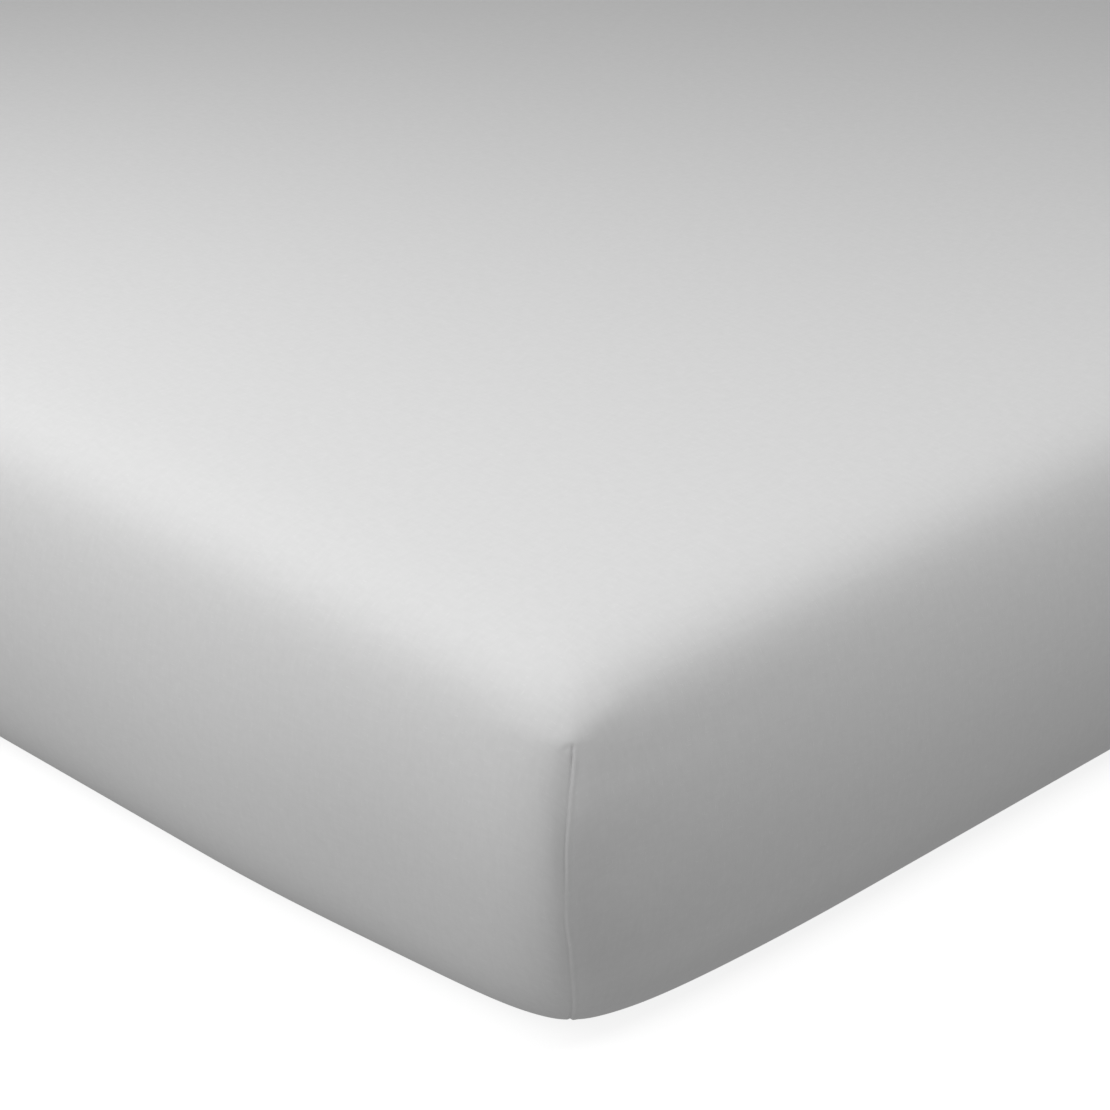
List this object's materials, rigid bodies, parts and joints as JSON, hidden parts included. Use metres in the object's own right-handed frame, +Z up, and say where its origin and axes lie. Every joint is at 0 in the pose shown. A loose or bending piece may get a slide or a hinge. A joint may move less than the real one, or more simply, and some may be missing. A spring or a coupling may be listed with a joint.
{
  "type": "fitted sheet on a mattress",
  "caption": "Smooth fitted sheet stretched over a deep mattress, with a sewn seam down each corner and an elasticated hem tucked under; lies flat on a base or floor.",
  "frame": {"origin": "on the floor below the middle of the mattress", "axes": "+Z up, +Y along the mattress's length, +X across its width"},
  "size_m": [1.7972, 1.9972, 0.25],
  "materials": {
    "sheet_cloth": "silver grey plain-woven cotton, smooth, with a faint sheen",
    "mattress_ticking": "off-white knitted ticking, matt"
  },
  "bodies": {
    "root": {"fitted_sheet": "sheet_cloth", "mattress": "mattress_ticking"}
  },
  "joints": []
}
